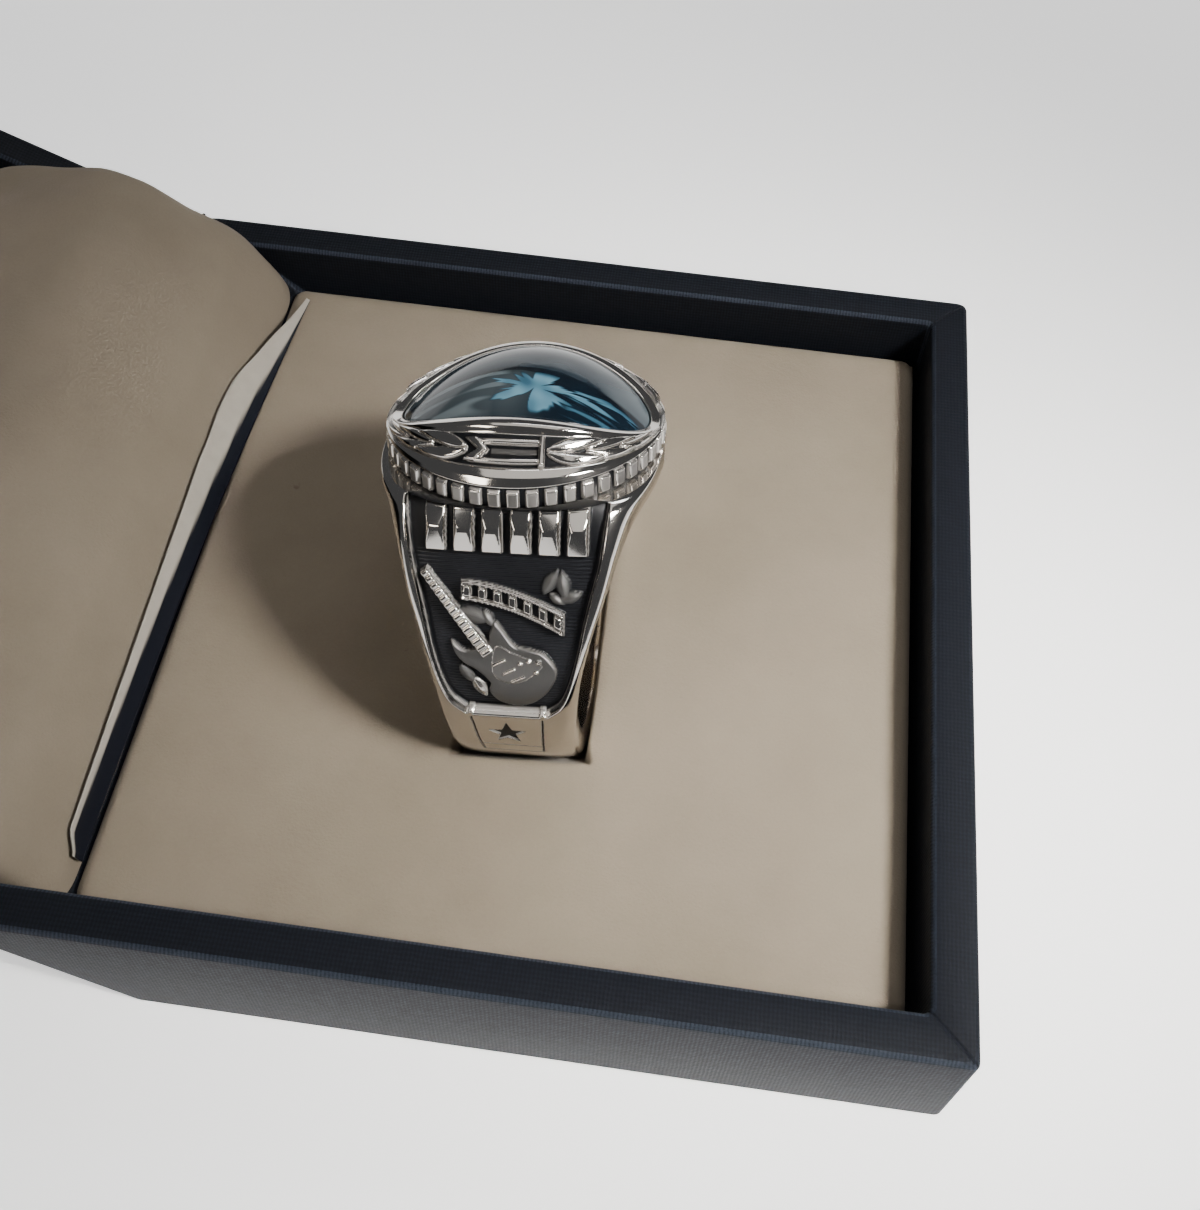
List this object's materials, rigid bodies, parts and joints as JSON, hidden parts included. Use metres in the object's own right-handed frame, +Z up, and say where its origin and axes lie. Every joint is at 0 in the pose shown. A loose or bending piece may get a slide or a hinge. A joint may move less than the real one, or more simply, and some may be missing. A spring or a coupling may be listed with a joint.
{
  "type": "class ring in a presentation box",
  "caption": "Cast silver-coloured class ring with an oval light-blue stone, standing in the slot of a cloth-covered box with a hinged lid.",
  "frame": {"origin": "middle of the flat underside of the box's base", "axes": "+Z up, +Y from the front of the box to its back, +X from the hinge side to the open side; the ring's finger hole runs along X, tilted by the ring's lean"},
  "size_m": [0.1343, 0.0636, 0.0373],
  "materials": {
    "silver": "polished silver-coloured metal with blackened recesses",
    "stone": "polished light-blue synthetic stone with a facetted underside",
    "cloth": "dark navy woven book-cloth over a stiff shell",
    "velour": "cream velour over foam"
  },
  "bodies": {
    "base": {"ring_casting": "silver", "ring_stone": "stone", "box_base": "cloth", "ring_pad": "velour", "base_lining": "velour"},
    "lid": {"box_lid": "cloth", "lid_lining": "velour"}
  },
  "joints": [
    {"name": "lid_hinge", "type": "hinge", "parent": "base", "child": "lid", "pos_m": [-0.03485, 0, 0.0107], "axis": [0, 1, 0], "range_deg": [0, 155.5]}
  ]
}
